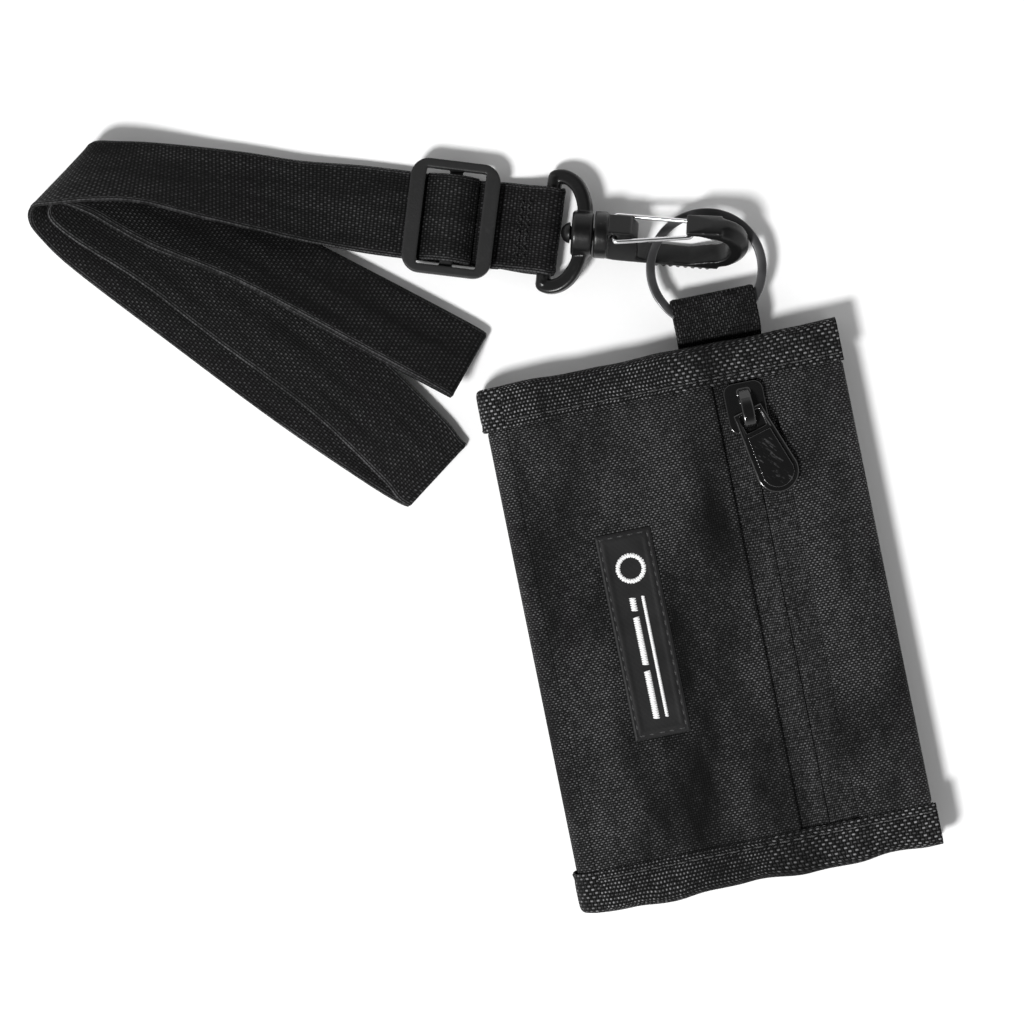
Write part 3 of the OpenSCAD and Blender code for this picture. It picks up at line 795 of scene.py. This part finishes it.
for end, side in ((1, "top"), (-1, "bottom")):
    flare = 0.5 if end < 0 else 0.15
    band_piece("binding_front_" + side, end,
               [(FOLD_X, BAND_TOP), (HALF_W - 3, BAND_TOP), (HALF_W + flare, BAND_TOP - 0.15)],
               [(FOLD_X, 4.75), (HALF_W - 3, 4.85), (HALF_W + flare, 5.0)], 0.86, "cover",
               "front_" + side + "_binding")
    # the back tape runs the other way round, so that its outer face points down
    back = [(HALF_W + 0.1, BACK_BAND_Z), (FOLD_X, BACK_BAND_Z)]
    inside = [(HALF_W + 0.1, 4.3), (FOLD_X, 4.6)]
    band_piece("binding_back_" + side, end, back, inside, 0.64 if end > 0 else 0.82, "pouch",
               "back_" + side + "_binding")
    ear = np.vstack([[(FOLD_X, BACK_BAND_Z)], arc(-38.5, 3.96, 3.9, -90, -180, 12), [(-42.5, 5.0)],
                     arc(-38.5, BAND_TOP - 3.9, 3.9, 180, 90, 12), [(FOLD_X, BAND_TOP)]])
    slit = [(FOLD_X, 4.6), (-38.2, 4.64), (-38.9, 4.68), (-38.2, 4.72), (FOLD_X, 4.75)]
    band_piece("binding_spine_" + side, end, ear, slit, 0.9, BLEND)

    for leaf, height, sign, body in (("front", BAND_TOP, 1, "cover"), ("back", 0.22, -1, "pouch")):
        x = np.linspace(FOLD_X + 0.5, HALF_W - 0.6, 90)
        row = stitches("stitches_" + leaf + "_" + side, points(x, STITCH_Y * end, height), (0, 0, sign),
                       2.2, 0.8, 0.17 if sign > 0 else 0.08)
        finish(row, BLACK_THREAD, body, "binding_tape")


# ---------- inside of the two leaves

def edged(low, high, margin, count):
    """Evenly spaced numbers with the two ends added, so that an edge can be rounded."""
    return np.concatenate([[low], np.linspace(low + margin, high - margin, count), [high]])


def flat_cloth(name, node, body, x_range, y_range, z, thick, down=False, hem=None, pile_of=None):
    """Cloth panel with softly rounded edges; hem is the end of Y that carries a folded hem."""
    (x0, x1), (y0, y1) = x_range, y_range
    x, y = np.meshgrid(edged(x0, x1, 0.25, 60), edged(y0, y1, 0.25, 110), indexing="ij")
    inward = np.minimum(np.minimum(x - x0, x1 - x), np.minimum(y - y0, y1 - y))
    soft = -0.12 * (1 - smoothstep(0, 0.3, inward))
    wave = 0.05 * np.sin(x * 0.16 + 1.3) * np.sin(y * 0.11)
    rise = soft + wave * smoothstep(0, 5, inward)
    if hem is not None:
        near = np.abs(y - hem)
        rise = rise + 0.16 * (1 - smoothstep(5.2, 5.6, near)) - 0.08 * np.exp(-((near - 1.6) / 0.3) ** 2)
    face = points(x, y, z + (-rise if down else rise))
    piece = cloth(name, face[:, ::-1] if down else face, thick)
    slot = "closure_tape" if pile_of else "lining_fabric"
    return finish(piece, pile_of or LINING, body, slot, node)


LINING_X, LINING_Y = (-39.2, 40.3), (-60.3, 60.3)
CLOSURE_X, CLOSURE_Y = (29.0, 39.0), (-40.0, 40.0)

flat_cloth("lining_back", "back_lining", "pouch", LINING_X, LINING_Y, 2.5, 0.3)
flat_cloth("pocket_rear", "card_pocket_rear", "pouch", (-38.9, 27.5), (-59.6, 26.0), 2.92, 0.3, hem=26.0)
flat_cloth("pocket_front", "card_pocket_front", "pouch", (-38.9, 27.4), (-59.6, 6.0), 3.38, 0.3, hem=6.0)
flat_cloth("closure_loop", "loop_strip", "pouch", CLOSURE_X, CLOSURE_Y, 4.2, 1.5, pile_of=LOOP_PILE)
flat_cloth("lining_front", "front_lining", "cover", LINING_X, LINING_Y, 5.55, 0.3, True)
flat_cloth("pocket_slip", "slip_pocket", "cover", (-38.9, 27.5), (-51.5, 20.0), 5.08, 0.3, True, hem=20.0)
flat_cloth("closure_hook", "hook_strip", "cover", CLOSURE_X, CLOSURE_Y, 4.85, 0.6, True, pile_of=HOOK_PILE)
flat_cloth("lining_coin", "coin_pocket_lining", "cover", (-37.4, 37.4), (-59.7, 59.7), 6.18, 0.25)

for name, y, x1, z, sign, body in (("pocket_rear_stitches", 24.3, 27, 3.06, 1, "pouch"),
                                   ("pocket_front_stitches", 4.3, 27, 3.52, 1, "pouch"),
                                   ("pocket_slip_stitches", 18.3, 27, 4.94, -1, "cover")):
    path = points(np.linspace(-38, x1, 60), y, z)
    finish(stitches(name, path, (0, 0, sign), 2.0, 0.8, 0.13), BLACK_THREAD, body, "lining_fabric")
for name, across, y0, y1, z, sign, body in (
        ("closure_loop_stitches", (29.7, 38.3), -39.2, 39.2, 4.2, 1, "pouch"),
        ("closure_hook_stitches", (29.7, 38.3), -39.2, 39.2, 4.85, -1, "cover"),
        ("pocket_side_stitches", (26.6,), -51, 25.5, 3.1, 1, "pouch")):
    rows = [stitches(name, points(x, np.linspace(y0, y1, 60), z), (0, 0, sign), 2.0, 0.8, 0.12)
            for x in across]
    finish(joined(name, rows) if len(rows) > 1 else rows[0], BLACK_THREAD, body, "closure_tape")

inner_fold = resample(np.vstack([
    [(-35.8, 5.36)], [(-38.8, 5.34)], arc(-39.2, 4.6, 0.74, 90, 175, 6), arc(-39.2, 3.6, 0.9, 180, 270, 8),
    [(-35.8, 2.66)]]), 0.25)
fold_lining = cloth("lining_spine", points(*along_y(inner_fold, 60.2, 120)), 0.25)
finish(fold_lining, LINING, ("pouch", "cover", (HINGE_X, 0, 0.003), (HINGE_X, 0, 0.0053)),
       "lining_fabric")

NODES["back_stiffener"].data.materials.clear()
NODES["back_stiffener"].data.materials.append(BOARD)


# ---------- zip

# half of the zip's section, from the sewn edge to the fold over the teeth: (distance from the zip, z)
TAPE_SECTION = [(9.4, 8.78), (7.0, 8.82), (5.6, 8.84), (4.2, 8.86), (2.6, 8.9), (1.9, 9.04), (1.3, 9.1),
                (0.6, 9.06), (0.16, 8.9), (0.05, 8.5), (0.3, 7.95)]
TURNS, TURN_STEPS, TOOTH_PITCH = 92, 10, 1.26

for side, hand in ((-1, "left"), (1, "right")):
    section = smooth_curve(TAPE_SECTION, 5)
    section = np.stack([ZIP_X + side * section[:, 0], section[:, 1]], 1)
    if side > 0:
        section = section[::-1]
    x, y, z = along_y(section, 60.3, 160)
    ridge = smoothstep(2.4, 1.8, np.abs(x - ZIP_X)) * 0.06
    z = z + ridge * np.sin(y * 2 * np.pi / 1.35 + (0 if side < 0 else np.pi))
    tape = cloth("zip_tape_" + hand + "_cloth", points(x, y, z), 0.28)
    finish(tape, TAPE, "cover", "zip_tape", "zip_tape_" + hand)

    t = np.linspace(0, TURNS, TURNS * TURN_STEPS + 1)
    wide = np.cos(2 * np.pi * t) * 0.62
    high = np.sin(2 * np.pi * t) * 0.42
    path = points(ZIP_X + side * (0.75 + wide), -58.0 + t * TOOTH_PITCH, 7.75 + high)
    coil = tube("zip_teeth_" + hand, path, circle_section(0.17, 6), up=(0, 0.1, 1))
    finish(coil, COIL_NYLON, "cover", "zip_coil", "zip_coil_" + hand)

crown = smooth_curve([(ZIP_X, y, z) for y, z in (
    (49.6, 9.7), (48.6, 10.9), (46.6, 12.1), (44.2, 12.45), (42.2, 12.05), (41.2, 11.0), (41.1, 9.8))], 6)
crown = tube("crown", crown, rounded_section(2.9, 1.1, 0.5, 5), up=(0, -1, 0.2))
slider = moulded("zip_slider", "slider_body", [crown], voxel=0.14, rounds=10)
finish(slider, BLACK_ENAMEL, "slider", "slider_metal", "slider_body")


def turned(place, origin, rx=0.0, ry=0.0, rz=0.0):
    """Points from a local frame to the row frame; angles in degrees, X first, then Y, then Z."""
    ax, ay, az = (math.radians(v) for v in (rx, ry, rz))
    mx = np.array([[1, 0, 0], [0, math.cos(ax), -math.sin(ax)], [0, math.sin(ax), math.cos(ax)]])
    my = np.array([[math.cos(ay), 0, math.sin(ay)], [0, 1, 0], [-math.sin(ay), 0, math.cos(ay)]])
    mz = np.array([[math.cos(az), -math.sin(az), 0], [math.sin(az), math.cos(az), 0], [0, 0, 1]])
    return np.asarray(place, float) @ (mz @ my @ mx).T + np.asarray(origin, float)


def move(obj, origin, rx=0.0, ry=0.0, rz=0.0):
    """Moves the mesh of an object made at the origin to its local frame."""
    mesh = obj.data
    flat = np.empty(len(mesh.vertices) * 3)
    mesh.vertices.foreach_get("co", flat)
    flat = turned(flat.reshape(-1, 3) / MM, origin, rx, ry, rz) * MM
    mesh.vertices.foreach_set("co", flat.ravel())
    mesh.update()
    return obj


PULL = dict(origin=(ZIP_X, 44.4, 10.95), rz=15.0)


def teardrop(inset, top):
    """Outline of the pull, anticlockwise, its straight end at y = top."""
    round_end = arc(0, -15, 5 - inset, 188, 352, 40)
    share = (-0.2 - top) / 14.8
    half = 3.5 + 1.5 * share - inset
    return np.vstack([round_end, [(half, top), (-half, top)]])


def pull_rim(z, radius=0.5):
    path = resample(np.roll(teardrop(0.5, -0.9), -41, 0), 0.5)
    return tube("rim", points(*path.T, z), circle_section(radius, 10))


recess = [move(outline_solid("recess", teardrop(1.15, -5.4), [(0, z0), (0, z1)]), **PULL)
          for z0, z1 in ((0.2, 1.4), (-1.4, -0.2))]
pull = moulded("zip_pull", "pull_tab", [move(pull_rim(z), **PULL) for z in (0.24, -0.24)], 0.13, 12, recess)
finish(pull, BLACK_ENAMEL, "pull", "slider_metal", "pull_tab")


# ---------- label

LABEL_MID = (LABEL_LOW + LABEL_HIGH) / 2
LABEL_W, LABEL_L = 6.5, 23.8                   # half its width and length
LABEL_RISE = 0.42                              # its face above the shell
u = edged(-LABEL_W, LABEL_W, 0.08, 44)
v = edged(-LABEL_L, LABEL_L, 0.1, 120)
u, v = np.meshgrid(u, v, indexing="ij")
rim = np.minimum(LABEL_W - np.abs(u), LABEL_L - np.abs(v))
x, y = LABEL_MID[0] + u, LABEL_MID[1] + v
hem = 0.1 * (smoothstep(0, 0.35, rim) - 1) * 3 + 0.07 * (1 - smoothstep(1.9, 2.4, rim))
hem = hem - 0.1 * np.exp(-((rim - 0.95) / 0.28) ** 2)
label_z = SKIN_Z + LABEL_RISE + lift(x, y) + hem
label = cloth("label_patch_cloth", points(x, y, label_z), 0.34)
finish(label, LABEL_SATIN, "cover", "label", "label_patch")


def on_label(path, above):
    """(x, y) points from the label's middle, lifted onto the shell."""
    x, y = (LABEL_MID[:2] + np.asarray(path, float)).T
    return points(x, y, SKIN_Z + above + lift(x, y))


edge = [(-5.55, -22.85), (5.55, -22.85), (5.55, 22.85), (-5.55, 22.85), (-5.55, -22.85)]
row = stitches("label_stitches", on_label(resample(edge, 0.8), 0.36), (0, 0, 1), 1.7, 0.6, 0.14)
finish(row, BLACK_THREAD, "cover", "label")


def satin_bar(start, stop, wide):
    """Embroidered bar: close stitches to and fro across a line on the label."""
    start, stop = np.array(start, float), np.array(stop, float)
    reach = np.linalg.norm(stop - start)
    across = np.array([start[1] - stop[1], stop[0] - start[0]]) / reach * wide / 2
    count = int(reach / 0.26)
    path = [start + (stop - start) * k / count + across * (1 if k % 2 else -1) for k in range(count + 1)]
    step = math.hypot(wide, reach / count)
    return stitches("mark", on_label(path, 0.46), (0, 0, 1), step * 0.97, step * 0.03, 0.17)


marks = [satin_bar((-0.75, y0), (-0.75, y1), 1.7) for y0, y1 in ((-19.5, -8.5), (-7, 4), (5.5, 8.5))]
marks.append(satin_bar((1.7, -19.5), (1.7, 8.5), 0.9))
circle = arc(0.3, 15.2, 3.0, 0, 360, 17)
marks += [satin_bar(a, b, 1.2) for a, b in zip(circle[:-1], circle[1:])]
finish(joined("label_mark", marks), WHITE_THREAD, "cover", "label")


# ---------- webbing: tab and lanyard

def webbing_strip(name, near, far, thick, half_width, edge_swell, columns=17):
    """Closed strip of webbing between two edge paths, with a corded selvedge along both edges."""
    middle = (near + far) / 2
    width = np.linalg.norm(far - near, axis=1, keepdims=True)
    across = unit(far - near)
    normal = unit(np.cross(np.gradient(middle, axis=0), across))
    s = np.sin(np.linspace(-1, 1, columns) * np.pi / 2)
    body = thick / 2 * (1 - smoothstep(0.93, 1.0, np.abs(s)) * 0.45)
    body = body + edge_swell * np.exp(-((np.abs(s) - 0.93) / 0.045) ** 2)
    loop_s = np.concatenate([s, s[::-1]])
    loop_h = np.concatenate([body, -body[::-1]])
    skin = (middle[:, None] + across[:, None] * (loop_s[None, :, None] * width[:, None] / 2)
            + normal[:, None] * loop_h[None, :, None])
    n, m = skin.shape[:2]
    weave = np.stack([np.broadcast_to(travelled(middle)[:, None], (n, m)),
                      np.broadcast_to(loop_s[None] * half_width, (n, m))], -1)
    return make_object(name, skin.reshape(-1, 3), swept_faces(n, m), weave)


tab_path = np.vstack([
    [(58.0, 2.85), (61.4, 2.9), (62.6, 3.3), (63.7, 3.95), (65.5, 4.05)], arc(71.3, 5.5, 1.45, -90, 90, 14),
    [(66.5, 6.95), (64.4, 6.85), (63.2, 6.1), (62.3, 4.7), (61.4, 3.75), (58.0, 3.65)]])
tab_path = smooth_curve(resample(tab_path, 0.6), 2)
near, far = (points(x, *tab_path.T) for x in (TAB_LOW[0], TAB_HIGH[0]))
tab = webbing_strip("tab_webbing_loop", near, far, 0.8, 9.7, 0.06)
finish(tab, TAB_WEB, "pouch", "webbing", "tab_loop")

# Route of the folded webbing: near edge x, y, z, then far edge x, y, z
STRAP = [
    (-31, 88.5, 0.9, -24.5, 107, 0.9), (-26, 86.5, 0.9, -20, 105.5, 0.9),
    (-23, 85.5, 0.8, -16.5, 104.5, 0.8), (-20.5, 84.5, 1.2, -14, 103.5, 1.2),
    (-19.5, 84.5, 2.4, -13, 103.5, 2.4), (-19.5, 84.5, 4, -13, 103.5, 4),
    (-20.5, 84.5, 5.2, -14, 103.5, 5.2), (-23, 85.5, 5.5, -16.5, 104.5, 5.5),
    (-27, 87, 3.6, -21, 106, 3.6), (-31.5, 88.5, 2.3, -25, 107.5, 2.3),
    (-36.5, 90, 2.3, -30.5, 109, 2.3), (-50, 94.5, 2.3, -43.5, 113.5, 2.3),
    (-63, 99, 3.2, -57, 118, 2.4), (-75, 103.5, 6.6, -71.5, 122, 3.3),
    (-85.5, 108, 9.7, -82.5, 126, 3.6), (-96, 112.5, 12.7, -93.5, 129.5, 4.4),
    (-108, 118, 15.2, -104.5, 132.5, 6.4), (-118, 120.5, 15.4, -111.5, 134, 7.7),
    (-127.5, 122, 13, -116, 135, 7.4), (-133.5, 123, 8, -118, 134.5, 5),
    (-135.5, 120.5, 3.6, -119, 132, 2), (-134, 116.5, 1, -118, 128.5, 0.8),
    (-128, 108, 0.7, -112, 120, 0.7), (-110.5, 88, 0.7, -95, 100.5, 0.7),
    (-89.5, 64.5, 0.7, -74, 77.5, 0.7), (-72.5, 47, 0.7, -56.5, 59.5, 0.7),
    (-65, 40, 0.8, -49, 51, 0.8), (-63, 39, 1.4, -47, 50.5, 1.4), (-65, 41, 2.1, -48, 52, 2.1),
    (-68, 46.5, 2.2, -51.5, 58.5, 2.2), (-81, 65, 2.2, -65, 78, 2.1),
    (-100.5, 87, 2.2, -85, 100, 2), (-113.5, 102, 2.4, -98, 115, 2),
    (-125.5, 113.5, 2.8, -110, 126.5, 2.2), (-130.5, 119.5, 3.4, -114, 131.5, 2.5),
    (-130.5, 122.5, 5, -114.5, 133.5, 3.1), (-127.5, 123, 6.4, -112, 133, 3.6),
    (-120.5, 118.5, 7.2, -107.5, 130, 3.4), (-109.5, 109, 7.6, -97.5, 122, 2.2),
    (-90, 96, 8.2, -79.5, 108, 1.2), (-70.5, 79.5, 8, -59.5, 93, 1.1),
    (-51, 63.5, 7.8, -40, 77, 1.1), (-48.5, 61.5, 8.4, -37.5, 74.5, 1.8),
    (-51, 64, 9.3, -40, 77, 2.6), (-70, 80, 9.6, -59.5, 93, 2.5),
    (-90, 96.5, 9.8, -79, 108.5, 2.6), (-109, 109.5, 9.2, -97.5, 122, 3.7),
    (-120, 119, 8.8, -107.5, 130.5, 4.5), (-125, 122, 9, -111.5, 133, 4.7),
    (-126, 123, 10.7, -113.5, 134, 5.6), (-122, 122.5, 12.4, -110.5, 133.5, 6.2),
    (-108.5, 118.5, 12.9, -104, 132, 4.8), (-96, 113.5, 10.6, -93.5, 129, 3),
    (-85.5, 108.5, 7.8, -82.5, 125.5, 2.3), (-75, 104, 5.1, -71.5, 122, 2),
    (-63, 99, 1.8, -57, 118, 0.9), (-50, 94.5, 0.9, -43.5, 113.5, 0.9),
    (-36.5, 90, 0.9, -30.5, 109, 0.9), (-31.5, 88.5, 0.9, -25, 107.5, 0.9)]
route = smooth_curve(STRAP, 6)
strap = webbing_strip("lanyard_webbing", route[:, :3], route[:, 3:], 0.9, 10.0, 0.08)
finish(strap, WEBBING, "lanyard", "webbing", "strap_webbing")

BAR_XY, BAR_TURN = (-18.3, 94.6), -18.4        # middle of the loop's bar, and its turn about Z
STRAP_FRAME = dict(origin=(*BAR_XY, 0.0), rz=BAR_TURN)
arch = smooth_curve([(-29.0, 3.55), (-28.0, 4.35), (-26.2, 5.5), (-24.4, 6.2), (-22.75, 6.4), (-21.3, 6.25),
                     (-19.6, 5.35), (-18.3, 4.2), (-17.5, 3.55)], 6)
near, far = (turned(points(arch[:, 0], y, arch[:, 1]), **STRAP_FRAME) for y in (-10.0, 10.0))
threaded = webbing_strip("adjuster_webbing", near, far, 0.8, 10.0, 0.06)
finish(threaded, WEBBING, "adjuster", "webbing", "adjuster_web")

tacks = []
for x0 in (-5.7, -7.4):
    x, y = np.array([(x0 + 0.9 * (k % 2), -8 + k * 0.9) for k in range(18)]).T
    zigzag = points(x, y, np.interp(x, [-12.5, -8.9, -4.7], [2.85, 3.5, 5.4]))
    tacks.append(stitches("tack", turned(zigzag, **STRAP_FRAME), (0, 0, 1), 1.05, 0.12, 0.14))
finish(joined("bartack_thread", tacks), TACK_THREAD, "lanyard", "webbing", "strap_bartack")


# ---------- ring, hook, loop and tri-glide

RING_MID = (RING_LOW + RING_HIGH) / 2
END_ANGLE = -141.4
phi = np.arange(16.0, 709.0, 2.5)
turn_z = -0.38 + 0.76 * smoothstep(350, 374, phi)
angle = np.radians(END_ANGLE - phi)
radius = RING_HIGH[0] - RING_MID[0] - 1.05
coil_path = RING_MID + points(radius * np.cos(angle), radius * np.sin(angle), turn_z)
ring = tube("key_ring", coil_path, rounded_section(2.05, 0.7, 0.22, 4))
finish(ring, RING_METAL, "ring", "ring_steel", "split_ring")

HOOK_TURN = dict(ry=-1.6, rz=-15.5)
HOOK_FRAME = dict(origin=(-11.05, 92.2, 6.05), **HOOK_TURN)
BAR_Z = 3.2                                    # the loop's bar above the table
RISE = math.degrees(math.atan2(6.15 - BAR_Z, 10.05 - 1.7))
ROLL = 56.0                                    # the hook lies on its side and leans


def in_loop(place):
    """Points of the tilted D's own frame, X towards the hook, to the row frame."""
    return turned(turned(place, (0, 0, 0), ry=-RISE), (*BAR_XY, BAR_Z), rz=BAR_TURN)


bow_half = [(-0.9, -11.5), (0.2, -12.5), (2.0, -12.8), (4.2, -12.1), (6.2, -10.3), (7.7, -7.4),
            (8.35, -4.2), (8.45, 0)]
bow_path = smooth_curve(bow_half + [(x, -y) for x, y in bow_half[-2::-1]], 8)
bow_path = points(*bow_path.T, 0.0)
taper = np.minimum(np.arange(len(bow_path)), np.arange(len(bow_path))[::-1]) / 9
taper = np.sqrt(1 - (1 - np.clip(taper, 0.03, 1)) ** 2)[:, None, None]
foot, tip = in_loop([(0, 0, 0), (0, 0, 1)])
bow = tube("bow", in_loop(bow_path), rounded_section(3.3, 2.8, 0.7, 5)[None] * taper, up=tip - foot)
bar = tube("bar", in_loop([(0, -12.6, 0), (0, 0, 0), (0, 12.6, 0)]), circle_section(1.7, 24))
collar = lathe("collar", [(-2.45, 1.8), (-2.45, 4.7), (-1.95, 5.2), (1.95, 5.2), (2.45, 4.7), (2.45, 1.8)],
               HOOK_FRAME["origin"], turned((1, 0, 0), (0, 0, 0), **HOOK_TURN))
loop = fused("d_loop_bow", joined("d_loop_bow", [bow, bar, collar]), 0.2, 8)
finish(loop, HOOK_PLASTIC, "swivel_loop", "hook_plastic", "d_loop")
rivet = moulded("swivel_stud", "swivel_rivet", voxel=0.16, rounds=4)
finish(rivet, HOOK_PLASTIC, "hook", "hook_plastic", "swivel_rivet")


def in_hook(place):
    """Points of the hook's rolled side view to the row frame."""
    return turned(turned(place, (0, 0, 0), rx=ROLL), **HOOK_FRAME)


ridges = []
for k in range(8):
    at = 17.5 + 1.7 * k
    back = np.interp(at, [14, 31.3], [-6.75, -6.95]) + 0.42
    ends = in_hook([(at, back, w) for w in (0.3, 1.4, 2.5)])
    ridges.append(tube("ridge", ends, circle_section(0.62, 10), up=(0.3, 0.2, 1)))
hook = moulded("snap_hook", "hook_body", ridges, 0.2, 26)
finish(hook, HOOK_PLASTIC, "hook", "hook_plastic", "hook_body")


def filleted(corners, radius):
    """Polyline with its inner corners rounded."""
    corners = np.asarray(corners, float)
    path = [corners[0]]
    for before, corner, after in zip(corners[:-2], corners[1:-1], corners[2:]):
        start, stop = corner + unit(before - corner) * radius, corner + unit(after - corner) * radius
        for t in np.linspace(0, 1, 7):
            path.append(start * (1 - t) ** 2 + corner * 2 * t * (1 - t) + stop * t ** 2)
    path.append(corners[-1])
    return np.array(path)


wire_path = filleted([(7.2, 2.6, 1.6), (7.2, 2.6, 4.1), (25, 4, 2.35), (25, 4, -2.35), (7.2, 2.6, -4.1),
                      (7.2, 2.6, -1.6)], 1.0)
gate = tube("gate_spring_wire", in_hook(wire_path), circle_section(0.5, 14), up=(0.31, 0.87, 0.37))
finish(gate, WIRE_METAL, "gate", "gate_steel", "gate_wire")

glide = moulded("slide_adjuster", "triglide")
finish(glide, GLIDE_PLASTIC, "adjuster", "hook_plastic", "triglide")
